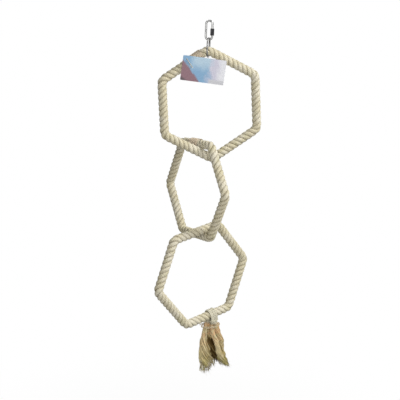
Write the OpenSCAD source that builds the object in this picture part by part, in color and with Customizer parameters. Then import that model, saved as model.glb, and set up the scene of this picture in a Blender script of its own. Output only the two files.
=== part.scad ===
// Rope bird swing: three linked hexagonal rope rings, hung by a wire ring from a
// quick link, with a frayed rope tassel on the lowest ring and a card tag on the top one.
// Millimetres, +Z up. The origin is the hanging point, inside the top bow of the link.

/* [Rope rings] */
// Diameter of the twisted rope
rope_d = 22; // [16:0.5:24]
// Side of each hexagon between its sharp corners, on the rope's centre line
ring_side = 130; // [110:1:180]
// Radius of the rope's centre line at each corner
corner_r = 16; // [13:0.5:20]
// Diameter of the steel wire inside the rope
core_d = 4; // [3:0.1:5]
// Radial clearance of the wire and its sleeve in the rope
core_clearance = 0.1; // [0.05:0.05:0.3]
// Outside diameter of the crimped sleeve that joins the wire's ends
ferrule_d = 8; // [6:0.5:10]
// Length of the crimped sleeve
ferrule_l = 30; // [20:1:40]
// Space between the wire's ends inside the sleeve
core_end_gap = 1; // [0.5:0.5:3]

/* [Hanging pose] */
// Lean of the top ring to the left
top_roll = 5; // [-4:0.5:7]
// Turn of the middle ring about the vertical
middle_turn = -68; // [-80:1:-55]
// Lean of the middle ring to the left
middle_roll = 4; // [0:0.5:7]
// From the middle of the middle ring's upper side to the place where it hangs
middle_hang = 44; // [20:1:52]
// From the top ring's lower corner to the place on its lower left side where the middle ring hangs
middle_seat = 18; // [0:1:24]
// Turn of the bottom ring about the vertical
bottom_turn = 25; // [10:1:35]
// Lean of the bottom ring to the left
bottom_roll = 11.5; // [4:0.5:14]
// From the middle ring's lower right corner to the place where the bottom ring hangs
bottom_hang_inset = 16; // [13:1:40]
// From the middle of the bottom ring's upper side to the place where it hangs
bottom_hang = 33.5; // [10:0.5:42]
// Clearance between pieces that hang on each other
seat_clearance = 0.3; // [0.2:0.1:0.6]

/* [Quick link] */
// Diameter of the link's wire
link_wire_d = 5; // [4:0.5:6]
// Length inside the link
link_inside_l = 39; // [36:1:46]
// Width inside the link
link_inside_w = 10; // [9:0.5:14]
// Width of the gate's opening
gate_gap = 6.2; // [5:0.1:7]
// Length of the fixed end below the opening
gate_end = 5.4; // [4:0.1:7]
// Length of the sleeve nut
nut_l = 16; // [13:0.5:17]
// Width across the nut's flats
nut_flats = 8; // [7.5:0.1:10]
// How far the closed nut holds the fixed end
nut_grip = 2.9; // [2:0.1:3.5]
// Radial clearance of the nut on the wire
nut_clearance = 0.05; // [0.03:0.01:0.1]
// Turn of the link and the hanger ring about the vertical
fittings_turn = -20; // [-28:1:0]

/* [Hanger ring] */
// Diameter of the hanger ring's wire
hanger_wire_d = 4; // [3:0.5:5]
// Length inside the hanger ring
hanger_inside_l = 41; // [36:1:50]
// Room on each side of the rope in the hanger ring
hanger_side_room = 3; // [2:0.5:6]

/* [Whippings] */
// Diameter of the whipping twine
twine_d = 1.9; // [1.4:0.1:2.2]
// Turns of twine in the top ring's whipping
top_whipping_turns = 12; // [6:1:13]
// Turns of twine in the middle ring's whipping
middle_whipping_turns = 16; // [6:1:17]
// Space between turns of twine
twine_space = 0.5; // [0.45:0.05:0.8]
// From the top ring's upper corner to its rope joint
top_joint = 31; // [30:1:36]
// From the middle of the middle ring's upper side to its rope joint
middle_joint = -1; // [-20:1:4]

/* [Hang tag] */
// Width of the card
tag_w = 104; // [90:1:120]
// Height of the card
tag_h = 58; // [50:1:70]
// Thickness of the card
tag_t = 0.8; // [0.5:0.1:1.5]
// Radius of the card's corners
tag_corner_r = 2; // [1:0.5:5]
// Lean of the card to the right
tag_tilt = 11; // [4:0.5:16]
// From the card's left edge to its tie
tag_tie_from_left = 17; // [16:1:30]
// From the card's upper edge to its tie
tag_tie_from_top = 17; // [16:1:30]
// From the top ring's upper corner to the card's tie
tag_tie_at = 54; // [54:1:70]
// Diameter of the tie's twine
tag_twine_d = 1.8; // [1.2:0.1:2.4]
// Radial clearance of the twine in the card's holes
tag_hole_clearance = 0.4; // [0.2:0.1:0.8]

/* [Tassel] */
// From the middle of the bottom ring's lower side to the tassel
tassel_at = 11; // [0:1:25]
// Width of the rope's flattened fold over the ring
fold_w = 20; // [16:1:26]
// Thickness of the fold
fold_t = 5; // [3:0.5:7]
// Length of the fold's ends below the ring's centre line
fold_drop = 13; // [12.5:0.5:18]
// Length of the front leg below the fold
front_leg_l = 112; // [80:1:140]
// Length of the back leg below the fold
back_leg_l = 124; // [90:1:150]
// Diameter of the twine that ties the legs
tie_twine_d = 2; // [1.5:0.1:2.5]
// Turns of the tie
tie_turns = 2; // [1:1:3]

/* [Hidden] */
$fn = 48;
rope_r = rope_d / 2;
up = [0, 0, 1];

// Regular hexagon: distance to the middle of a side, and what its rounded corners leave
half_corner = 30;
side_reach = ring_side * cos(half_corner);
side_run = ring_side / 2 - corner_r * tan(half_corner);
corner_centre = ring_side - corner_r / cos(half_corner);
corner_step = 0.1;
corner_lap = 1;

// Axes of a ring that is turned about the vertical and leans in its own plane
function across(turn, roll) = [cos(roll) * cos(turn), cos(roll) * sin(turn), sin(roll)];
function upward(turn, roll) = [-sin(roll) * cos(turn), -sin(roll) * sin(turn), cos(roll)];
function in_ring(turn, roll, p) = p[0] * across(turn, roll) + p[1] * upward(turn, roll);

// Points about 1 mm apart along a rounded corner, whose outward direction is at angle a
sample_reach = 30;
function corner_points(a) = [
    for (s = [-sample_reach:1:sample_reach])
        let (arc = corner_r * half_corner * PI / 180, turned = max(-arc, min(arc, s)) / arc * half_corner,
             rest = abs(s) > arc ? s - sign(s) * arc : 0)
            corner_centre * [cos(a), sin(a)] + corner_r * [cos(a + turned), sin(a + turned)]
                + rest * [-sin(a + turned), cos(a + turned)]];

// Points along a side, whose outward direction is at angle a, around the place s
function side_points(a, s) = [
    for (t = [-sample_reach:1:sample_reach])
        side_reach * [cos(a), sin(a)] + (s + t) * [sin(a), -cos(a)]];

function in_space(points, centre, turn, roll) = [for (p = points) centre + in_ring(turn, roll, p)];
function nearest(a, b) = min([for (p = a, q = b) norm(p - q)]);

// Least rise between low and high that leaves room, found by halving
function settle(room, low, high, steps = 18) =
    steps == 0 ? high
    : let (middle = (low + high) / 2)
        room(middle) >= 0 ? settle(room, low, middle, steps - 1) : settle(room, middle, high, steps - 1);

// Quick link: centres of its bows, and the places of its gate
link_wire_r = link_wire_d / 2;
link_bow_r = (link_inside_w + link_wire_d) / 2;
link_top_z = -link_inside_w / 2;
link_low_z = link_inside_w / 2 - link_inside_l;
gate_low_z = link_low_z + gate_end;
gate_high_z = gate_low_z + gate_gap;
nut_low_z = gate_low_z - nut_grip;
link_bar_z = -link_inside_l - link_wire_r;

// Hanger ring: its upper bow lies in the link's lower bow
hanger_wire_r = hanger_wire_d / 2;
hanger_bow_r = rope_r + hanger_side_room + hanger_wire_r;
hanger_top_z = link_bar_z + link_wire_r + seat_clearance + hanger_wire_r;
hanger_low_z = hanger_top_z - hanger_inside_l - hanger_wire_d;
hanger_high_centre_z = hanger_top_z - hanger_bow_r;
hanger_low_centre_z = hanger_low_z + hanger_bow_r;
hanger_across = [-sin(fittings_turn), cos(fittings_turn), 0];
bow_reach = 80;
bow_step = 4;
hanger_bow = [
    for (t = [-bow_reach:bow_step:bow_reach])
        hanger_low_centre_z * up + hanger_bow_r * (sin(t) * hanger_across - cos(t) * up)];

// Top ring: its upper corner rides on the hanger ring's lower bow
corner_up = 90;
top_corner = corner_points(corner_up);
function top_centre_at(rise) =
    (hanger_low_z + rise - corner_r) * up - corner_centre * upward(0, top_roll);
top_rise = settle(
    function (rise) nearest(in_space(top_corner, top_centre_at(rise), 0, top_roll), hanger_bow)
        - rope_r - hanger_wire_r - seat_clearance,
    rope_r, rope_d + hanger_wire_d);
top_centre = top_centre_at(top_rise);

// Middle ring: its upper side lies on the top ring beside its lower corner
rope_seat = rope_d + seat_clearance;
top_low_corner = in_space(corner_points(-corner_up), top_centre, 0, top_roll);
top_low_tip = top_centre - ring_side * upward(0, top_roll);
top_low_seat = top_low_tip + in_ring(0, top_roll, middle_seat * [-cos(half_corner), sin(half_corner)]);
function middle_centre_at(rise) =
    top_low_seat + rise * up - in_ring(middle_turn, middle_roll, [middle_hang, side_reach]);
middle_side = side_points(90, middle_hang);
middle_rise = settle(
    function (rise) nearest(in_space(middle_side, middle_centre_at(rise), middle_turn, middle_roll),
                            top_low_corner) - rope_seat,
    rope_r, 2 * rope_d);
middle_centre = middle_centre_at(middle_rise);

// Bottom ring: its upper side lies across the middle ring's lower side
bottom_place = ring_side / 2 - bottom_hang_inset;
middle_low_side = concat(
    in_space(side_points(-90, -bottom_place), middle_centre, middle_turn, middle_roll),
    in_space(corner_points(-60), middle_centre, middle_turn, middle_roll));
middle_low_seat = middle_centre + in_ring(middle_turn, middle_roll, [bottom_place, -side_reach]);
function bottom_centre_at(rise) =
    middle_low_seat + rise * up - in_ring(bottom_turn, bottom_roll, [bottom_hang, side_reach]);
bottom_side = side_points(90, bottom_hang);
bottom_rise = settle(
    function (rise) nearest(in_space(bottom_side, bottom_centre_at(rise), bottom_turn, bottom_roll),
                            middle_low_side) - rope_seat,
    rope_r, 2 * rope_d);
bottom_centre = bottom_centre_at(bottom_rise);

// Tag: it lies in front of the whipping on the top ring's upper left side
winding_r = rope_r + seat_clearance + twine_d / 2;
tag_stand_off = winding_r + twine_d / 2 + seat_clearance;
tag_leg = rope_r + seat_clearance + tag_twine_d / 2;
tag_front = tag_stand_off + tag_t + seat_clearance + tag_twine_d / 2;
tag_bend_r = tag_twine_d;

// Tassel: the legs gather below the ring's lower side and spread from there
tassel_seat = bottom_centre + in_ring(bottom_turn, bottom_roll, [tassel_at, -side_reach]);
fold_in_r = rope_r + seat_clearance;
fold_out_r = fold_in_r + fold_t;
fold_mid_r = fold_in_r + fold_t / 2;
leg_sides = 16;
// Where the tie gathers the legs: distance below their tops, and half width and depth of its loops
neck_drop = 13;
neck_w = 25.6;
neck_d = 16;
tie_tail = 22;
// Each station of a leg: share of its length, place across, place in depth, half width, half depth
front_leg_stations = [
    [0, 0, -fold_mid_r, fold_w / 2, fold_t / 2],
    [0.08, 8, -7.4, 10.6, 5.2],
    [0.17, 9.6, -6.6, 10.4, 5],
    [0.33, 15, -7, 14, 7.5],
    [0.52, 19.5, -7, 12, 8.5],
    [0.75, 25, -6, 11, 8],
    [0.9, 34, -5, 10, 6.5],
    [1, 42, -4, 6, 4]];
back_leg_stations = [
    [0, 0, fold_mid_r, fold_w / 2, fold_t / 2],
    [0.07, -6, 7.4, 10.6, 5.2],
    [0.15, -8, 6.6, 10.6, 5],
    [0.3, -16, 7, 12, 8],
    [0.45, -15, 8, 17, 10],
    [0.63, -18, 8, 26, 11],
    [0.75, -13, 8, 27, 11],
    [0.88, -10, 7, 22, 10],
    [1, -15, 6, 10, 6]];

// A ring's own plane is XZ, with its centre at the origin and a flat side on top
module place_ring(centre, turn, roll, corner_turn = 0)
    translate(centre) rotate([0, -roll, turn]) rotate([0, corner_turn, 0]) children();
module place_top() place_ring(top_centre, 0, top_roll, -half_corner) children();
module place_middle() place_ring(middle_centre, middle_turn, middle_roll) children();
module place_bottom() place_ring(bottom_centre, bottom_turn, bottom_roll) children();

// A place on the upper side, with X along the side; the top ring's is its upper left side
module on_side(at) translate([at, 0, side_reach]) children();
module on_low_side(at) translate([at, 0, -side_reach]) children();
upper = 0;
lower = 180;
top_joint_at = ring_side / 2 - top_joint;
tag_tie_side_at = ring_side / 2 - tag_tie_at;

// Round bar along X
module bar(d, l) rotate([0, 90, 0]) cylinder(d = d, h = l, center = true);

// Round bar bent through an arc in the XZ plane, from an angle above X
module bent_bar(d, r, from, through)
    rotate([90, 0, 0]) rotate([0, 0, from]) rotate_extrude(angle = through) translate([r, 0]) circle(d = d);

// Hexagon of round bar; a corner is a hair slimmer than the sides and runs a little way into them
module hexagon_bar(d)
    for (turn = [0:60:300]) rotate([0, turn, 0]) {
        on_side(0) bar(d, 2 * side_run);
        translate(corner_centre * [cos(60), 0, sin(60)])
            bent_bar(d - 2 * corner_step, corner_r, half_corner - corner_lap, 2 * (half_corner + corner_lap));
    }

// Steel wire of a ring, with its ends apart at the joint
module ring_core(joint_turn, at)
    color("silver") difference() {
        hexagon_bar(core_d);
        rotate([0, joint_turn, 0]) on_side(at) cube([core_end_gap, 2 * core_d, 2 * core_d], center = true);
    }

// Crimped sleeve over the wire's ends
core_bore = core_d + 2 * core_clearance;
module ring_ferrule(joint_turn, at)
    color("gray") rotate([0, joint_turn, 0]) on_side(at) difference() {
        bar(ferrule_d, ferrule_l);
        bar(core_bore, 2 * ferrule_l);
    }

// Rope laid round the wire and its sleeve
module ring_rope(joint_turn, at)
    color("wheat") difference() {
        hexagon_bar(rope_d);
        hexagon_bar(core_bore);
        rotate([0, joint_turn, 0]) on_side(at)
            bar(ferrule_d + 2 * core_clearance, ferrule_l + 2 * core_clearance);
    }

// Tube of flat faces along a path; each ring of points faces along the path
function unit(v) = v / norm(v);
function heading(path, i) = unit(path[min(i + 1, len(path) - 1)] - path[max(i - 1, 0)]);
module tube(path, outward, d, sides) {
    count = len(path);
    points = [
        for (i = [0:count - 1], k = [0:sides - 1])
            let (t = heading(path, i), n = unit(outward[i] - (outward[i] * t) * t), b = cross(t, n))
                path[i] + d / 2 * (cos(360 * k / sides) * n + sin(360 * k / sides) * b)];
    skin(points, count, sides);
}

// Closed skin over rings of points, in triangles
module skin(points, count, sides) {
    walls = [
        for (i = [0:count - 2], k = [0:sides - 1])
            let (a = i * sides + k, b = i * sides + (k + 1) % sides)
                for (face = [[a, a + sides, b], [b, a + sides, b + sides]]) face];
    first = [for (k = [1:sides - 2]) [0, k, k + 1]];
    last_ring = (count - 1) * sides;
    last = [for (k = [1:sides - 2]) [last_ring, last_ring + k + 1, last_ring + k]];
    polyhedron(points, concat(first, walls, last));
}

// Winding of twine about X with straight ends, and its least gap to itself
loop_rings = 24;
winding_sides = 6;
function oval(a, ry, rz) = [0, ry * cos(a), rz * sin(a)];
function oval_heading(a, ry, rz) = unit([0, -ry * sin(a), rz * cos(a)]);
module winding(label, turns, pitch, d, ry, rz, tail, start) {
    steps = turns * loop_rings;
    coil = [
        for (i = [0:steps])
            [pitch * (i / loop_rings - turns / 2), 0, 0] + oval(start + 360 * i / loop_rings, ry, rz)];
    finish = start + 360 * turns;
    path = concat([coil[0] - tail * oval_heading(start, ry, rz)], coil,
                  [coil[steps] + d * oval_heading(finish, ry, rz)]);
    outward = concat([oval(start, ry, rz)],
                     [for (i = [0:steps]) oval(start + 360 * i / loop_rings, ry, rz)],
                     [oval(finish, ry, rz)]);
    half_loop = loop_rings / 2;
    gaps = [
        for (i = [0:steps], j = [i + half_loop:min(i + 3 * half_loop, steps)])
            norm(coil[i] - coil[j]) - d];
    echo(str(label, " least gap to itself: ", min(gaps), " mm"));
    tube(path, outward, d, winding_sides);
}

module whipping(label, turns)
    color("tan")
        winding(label, turns, twine_d + twine_space, twine_d, winding_r, winding_r, twine_d, 0);

// Quick link: a wire oval that is open on its right side
module quick_link()
    color("gainsboro") rotate([0, 0, fittings_turn]) {
        translate([0, 0, link_top_z]) bent_bar(link_wire_d, link_bow_r, 0, 180);
        translate([0, 0, link_low_z]) bent_bar(link_wire_d, link_bow_r, 180, 180);
        translate([-link_bow_r, 0, link_low_z]) cylinder(d = link_wire_d, h = link_top_z - link_low_z);
        translate([link_bow_r, 0, link_low_z]) cylinder(d = link_wire_d, h = gate_end);
        translate([link_bow_r, 0, gate_high_z]) cylinder(d = link_wire_d, h = link_top_z - gate_high_z);
    }

// Hexagonal sleeve nut with bevelled ends, closed over the gate
module quick_link_nut() {
    nut_corner_r = nut_flats / 2 / cos(30);
    bevel = nut_corner_r - nut_flats / 2;
    color("dimgray") rotate([0, 0, fittings_turn]) translate([link_bow_r, 0, nut_low_z]) difference() {
        intersection() {
            cylinder(r = nut_corner_r, h = nut_l, $fn = 6);
            rotate_extrude() polygon([
                [0, 0], [nut_flats / 2, 0], [nut_corner_r, bevel],
                [nut_corner_r, nut_l - bevel], [nut_flats / 2, nut_l], [0, nut_l]]);
        }
        translate([0, 0, -nut_l / 2]) cylinder(d = link_wire_d + 2 * nut_clearance, h = 2 * nut_l);
    }
}

// Hanger ring: a wire oval round the rope, standing across the link
module hanger_ring()
    color("silver") rotate([0, 0, fittings_turn + 90]) {
        translate([0, 0, hanger_high_centre_z]) bent_bar(hanger_wire_d, hanger_bow_r, 0, 180);
        translate([0, 0, hanger_low_centre_z]) bent_bar(hanger_wire_d, hanger_bow_r, 180, 180);
        for (side = [-1, 1]) translate([side * hanger_bow_r, 0, hanger_low_centre_z])
            cylinder(d = hanger_wire_d, h = hanger_high_centre_z - hanger_low_centre_z);
    }

module top_ring_core() place_top() ring_core(upper, top_joint_at);
module top_ring_ferrule() place_top() ring_ferrule(upper, top_joint_at);
module top_ring_rope() place_top() ring_rope(upper, top_joint_at);
module top_ring_whipping() place_top() on_side(top_joint_at) whipping("top ring whipping", top_whipping_turns);

module middle_ring_core() place_middle() ring_core(upper, middle_joint);
module middle_ring_ferrule() place_middle() ring_ferrule(upper, middle_joint);
module middle_ring_rope() place_middle() ring_rope(upper, middle_joint);
module middle_ring_whipping() place_middle() on_side(middle_joint) whipping("middle ring whipping", middle_whipping_turns);

module bottom_ring_core() place_bottom() ring_core(lower, -tassel_at);
module bottom_ring_ferrule() place_bottom() ring_ferrule(lower, -tassel_at);
module bottom_ring_rope() place_bottom() ring_rope(lower, -tassel_at);

// Card with two holes for its tie
module rounded_card(w, h, r) {
    translate([r, 0]) square([w - 2 * r, h]);
    translate([0, r]) square([w, h - 2 * r]);
    for (x = [r, w - r], y = [r, h - r]) translate([x, y]) circle(r = r);
}
module hang_tag()
    color("lightblue") place_top() on_side(tag_tie_side_at) difference() {
        rotate([0, half_corner + tag_tilt, 0])
            translate([-tag_tie_from_left, -tag_stand_off, tag_tie_from_top - tag_h])
                rotate([90, 0, 0]) linear_extrude(tag_t) rounded_card(tag_w, tag_h, tag_corner_r);
        for (side = [-1, 1]) translate([0, -tag_front, side * tag_leg]) rotate([-90, 0, 0])
            cylinder(d = tag_twine_d + 2 * tag_hole_clearance, h = tag_front);
    }

// Twine loop round the rope and through the card's holes
module tag_tie()
    color("khaki") place_top() on_side(tag_tie_side_at) {
        rotate([0, 0, 90]) bent_bar(tag_twine_d, tag_leg, -90, 180);
        for (side = [-1, 1]) {
            translate([0, 0, side * tag_leg]) rotate([90, 0, 0])
                cylinder(d = tag_twine_d, h = tag_front - tag_bend_r);
            translate([0, -(tag_front - tag_bend_r), side * (tag_leg - tag_bend_r)])
                rotate([0, 0, 90]) bent_bar(tag_twine_d, tag_bend_r, side > 0 ? 90 : 180, 90);
        }
        translate([0, -tag_front, 0])
            cylinder(d = tag_twine_d, h = 2 * (tag_leg - tag_bend_r), center = true);
    }

// Flattened rope folded over the ring's lower side
module tassel_fold()
    color("tan") place_bottom() on_low_side(tassel_at) difference() {
        union() {
            bar(2 * fold_out_r, fold_w);
            translate([-fold_w / 2, -fold_out_r, -fold_drop]) cube([fold_w, 2 * fold_out_r, fold_drop]);
        }
        bar(2 * fold_in_r, 2 * fold_w);
        translate([-fold_w, -fold_in_r, -2 * fold_drop]) cube([2 * fold_w, 2 * fold_in_r, 2 * fold_drop]);
        translate([-fold_w, -2 * fold_out_r, -fold_drop - 2 * fold_out_r])
            cube([2 * fold_w, 4 * fold_out_r, 2 * fold_out_r]);
    }

// Frayed leg: ovals along its length, below the fold's end
module place_tassel() translate(tassel_seat) rotate([0, 0, bottom_turn]) children();
leg_start = fold_drop + fold_w / 2 * sin(bottom_roll) + seat_clearance;
module leg(stations, l) {
    points = [
        for (s = stations, k = [0:leg_sides - 1])
            let (a = 360 * k / leg_sides)
                [s[1] + s[3] * cos(a), s[2] + s[4] * sin(a), -leg_start - s[0] * l]];
    skin(points, len(stations), leg_sides);
}
module tassel_front_leg() color("burlywood") place_tassel() leg(front_leg_stations, front_leg_l);
module tassel_back_leg() color("burlywood") place_tassel() leg(back_leg_stations, back_leg_l);

// Twine round both legs below the ring, with one end left long
module tassel_tie()
    color("khaki") place_tassel() translate([0, 0, -leg_start - neck_drop]) rotate([0, 90, 0])
        winding("tassel tie", tie_turns, tie_twine_d + twine_space, tie_twine_d, neck_d, neck_w, tie_tail, 0);

quick_link();
quick_link_nut();
hanger_ring();
top_ring_core();
top_ring_ferrule();
top_ring_rope();
top_ring_whipping();
middle_ring_core();
middle_ring_ferrule();
middle_ring_rope();
middle_ring_whipping();
bottom_ring_core();
bottom_ring_ferrule();
bottom_ring_rope();
tassel_fold();
tassel_front_leg();
tassel_back_leg();
tassel_tie();
hang_tag();
tag_tie();
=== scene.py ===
# Rope bird swing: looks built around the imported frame
import math
import random

import bpy
from mathutils import Matrix, Vector


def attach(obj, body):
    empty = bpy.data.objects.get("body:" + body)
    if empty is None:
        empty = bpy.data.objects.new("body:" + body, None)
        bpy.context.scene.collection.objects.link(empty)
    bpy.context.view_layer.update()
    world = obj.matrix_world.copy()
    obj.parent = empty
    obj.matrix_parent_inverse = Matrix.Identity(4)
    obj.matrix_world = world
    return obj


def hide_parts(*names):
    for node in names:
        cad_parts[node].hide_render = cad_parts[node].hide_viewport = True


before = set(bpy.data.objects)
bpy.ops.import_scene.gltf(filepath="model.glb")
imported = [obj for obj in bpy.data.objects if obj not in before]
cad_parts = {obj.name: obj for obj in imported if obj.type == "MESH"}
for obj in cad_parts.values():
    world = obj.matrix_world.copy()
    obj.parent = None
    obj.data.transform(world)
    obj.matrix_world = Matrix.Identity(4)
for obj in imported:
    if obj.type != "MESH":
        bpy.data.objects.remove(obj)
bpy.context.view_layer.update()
scene = bpy.context.scene
mm = 0.001
fullTurn = 2 * math.pi


# Node trees: a socket as an expression, and one way to add a node
class Sock:
    def __init__(self, tree, node, out=0):
        self.tree = tree
        self.node = node
        self.socket = node.outputs[out]

    def out(self, name):
        return Sock(self.tree, self.node, name)

    def calc(self, operation, other=0.0):
        return addNode(self.tree, "ShaderNodeMath", {"operation": operation}, {0: self, 1: other})

    def __add__(self, other):
        return self.calc("ADD", other)

    def __radd__(self, other):
        return self.calc("ADD", other)

    def __sub__(self, other):
        return self.calc("SUBTRACT", other)

    def __rsub__(self, other):
        return addNode(self.tree, "ShaderNodeMath", {"operation": "SUBTRACT"}, {0: other, 1: self})

    def __mul__(self, other):
        return self.calc("MULTIPLY", other)

    def __rmul__(self, other):
        return self.calc("MULTIPLY", other)

    def __truediv__(self, other):
        return self.calc("DIVIDE", other)

    def above(self, low, high):  # smooth step from 0 at low to 1 at high
        return addNode(self.tree, "ShaderNodeMapRange", {"interpolation_type": "SMOOTHSTEP"},
                       {"Value": self, "From Min": low, "From Max": high})


def setInput(tree, socket, value):
    if isinstance(value, Sock):
        tree.links.new(value.socket, socket)
    elif socket.type == "RGBA" and len(value) == 3:
        socket.default_value = (*value, 1)
    else:
        socket.default_value = value


def addNode(tree, nodeType, settings=None, values=None, out=0):
    node = tree.nodes.new(nodeType)
    for name, value in (settings or {}).items():
        setattr(node, name, value)
    for name, value in (values or {}).items():
        setInput(tree, node.inputs[name], value)
    return Sock(tree, node, out)


def mixColour(tree, factor, first, second, blend="MIX"):
    return addNode(tree, "ShaderNodeMix", {"data_type": "RGBA", "blend_type": blend},
                   {0: factor, 6: first, 7: second}, 2)


def vectorCalc(tree, operation, first, second, out=0):
    return addNode(tree, "ShaderNodeVectorMath", {"operation": operation}, {0: first, 1: second}, out)


def scaled(tree, vector, factor):
    return addNode(tree, "ShaderNodeVectorMath", {"operation": "SCALE"}, {0: vector, "Scale": factor})


# Materials
def newLook(name):
    look = bpy.data.materials.new(name)
    look.use_nodes = True
    return look, look.node_tree


def finishLook(tree, colour, roughness, bump, bumpHeight, extra):
    shader = tree.nodes["Principled BSDF"]
    normal = addNode(tree, "ShaderNodeBump", None, {"Height": bump, "Distance": bumpHeight, "Strength": 1.0})
    values = {"Base Color": colour, "Roughness": roughness, "Normal": normal, **extra}
    for name, value in values.items():
        setInput(tree, shader.inputs[name], value)


def attribute(tree, name):
    return addNode(tree, "ShaderNodeAttribute", {"attribute_name": name}, None, "Fac")


def objectPlace(tree):
    return addNode(tree, "ShaderNodeTexCoord", None, None, "Object")


def noise(tree, place, scale, detail=2.0):
    return addNode(tree, "ShaderNodeTexNoise", None, {"Vector": place, "Scale": scale, "Detail": detail})


speckEdge = (0.3, 0.7)


def speckle(tree, colour, fibres, share, dark):  # darkens the gaps between fibres: painted shade
    specks = mixColour(tree, fibres.above(*speckEdge), (dark, dark, dark), (1, 1, 1))
    return mixColour(tree, share, colour, specks, "MULTIPLY")


# crown, pale and olive are the rope's own tones; the groove colour is painted shade for the creases
ropeLook = {
    "crown": (0.66, 0.60, 0.43), "pale": (0.74, 0.69, 0.55), "olive": (0.56, 0.53, 0.32),
    "grooveShade": (0.13, 0.09, 0.03), "grooveDepth": 6.8 * mm, "crownDepth": 10.8 * mm,
    "patchScale": 28.0, "palePatches": (0.42, 0.62), "mottleScale": 60.0, "olivePatches": (0.5, 0.75),
    "oliveShare": 0.55, "lobeEdge": (-1.0, -0.2), "lobeShade": 0.25, "fibreScale": 1900.0,
    "speckShare": 0.25, "speckDark": 0.35, "roughness": 0.86, "shine": 0.2, "bump": 0.4 * mm}


def makeRopeLook(name):
    look, tree = newLook(name)
    place = objectPlace(tree)
    patches = noise(tree, place, ropeLook["patchScale"])
    mottle = noise(tree, place, ropeLook["mottleScale"], detail=3.0)
    fibres = noise(tree, place, ropeLook["fibreScale"])
    yarn = mixColour(tree, patches.above(*ropeLook["palePatches"]), ropeLook["crown"], ropeLook["pale"])
    olives = mottle.above(*ropeLook["olivePatches"]) * ropeLook["oliveShare"]
    yarn = mixColour(tree, olives, yarn, ropeLook["olive"])
    # Painted shade: darker towards the grooves between strands, from the depth mark, and between the yarn
    # lobes
    clearOfGrooveShade = attribute(tree, "depth").above(ropeLook["grooveDepth"], ropeLook["crownDepth"])
    yarn = mixColour(tree, clearOfGrooveShade, ropeLook["grooveShade"], yarn)
    lobeGapShade = 1 - attribute(tree, "lobe").above(*ropeLook["lobeEdge"])
    yarn = mixColour(tree, lobeGapShade * ropeLook["lobeShade"], yarn, ropeLook["grooveShade"])
    yarn = speckle(tree, yarn, fibres, ropeLook["speckShare"], ropeLook["speckDark"])
    finishLook(tree, yarn, ropeLook["roughness"], fibres, ropeLook["bump"],
               {"Specular IOR Level": ropeLook["shine"]})
    return look


twineSet = {
    "patchScale": 220.0, "palePatches": (0.35, 0.65), "fibreScale": 3200.0, "roughness": 0.8, "shine": 0.25,
    "bump": 0.2 * mm}


def makeTwineLook(name, tint):
    look, tree = newLook(name)
    place = objectPlace(tree)
    patches = noise(tree, place, twineSet["patchScale"])
    fibres = noise(tree, place, twineSet["fibreScale"])
    yarn = mixColour(tree, patches.above(*twineSet["palePatches"]), tint["body"], tint["pale"])
    # Painted shade: darker in the grooves between the twine's strands, from the depth mark
    clearOfGrooveShade = attribute(tree, "depth").above(tint["grooveDepth"], tint["crownDepth"])
    yarn = mixColour(tree, clearOfGrooveShade, tint["grooveShade"], yarn)
    finishLook(tree, yarn, twineSet["roughness"], fibres, twineSet["bump"],
               {"Specular IOR Level": twineSet["shine"]})
    return look


# shares run along a leg from 0 at the fold to 1 at the frayed end
tasselLook = {
    "cream": (0.72, 0.68, 0.53), "tan": (0.59, 0.44, 0.18), "rust": (0.85, 0.52, 0.28),
    "olive": (0.57, 0.51, 0.13), "straw": (0.93, 0.80, 0.49), "grey": (0.50, 0.49, 0.46),
    "shade": (0.075, 0.042, 0.006), "patchScale": 60.0, "fibreScale": 2500.0, "creamUntil": (0.0, 0.1),
    "rustUntil": (0.2, 0.6), "rustPatches": (0.42, 0.55), "rustShare": 0.7,
    "oliveFrom": (0.5, 0.95), "olivePatches": (0.42, 0.55), "oliveShare": 0.65,
    "greyFrom": (0.7, 1.0), "greyPatches": (0.45, 0.58), "greyShare": 0.6, "shadeUntilTone": (-0.5, 0.1),
    "plyLay": 4.5 * mm, "plyEdge": (-1.0, 0.1), "foldPlyShade": 0.12, "legPlyShade": 0.3,
    "speckShare": 0.3, "speckDark": 0.4, "plyBump": 0.6, "fibreBump": 0.4,
    "roughness": 0.85, "shine": 0.2, "bump": 0.5 * mm}


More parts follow.
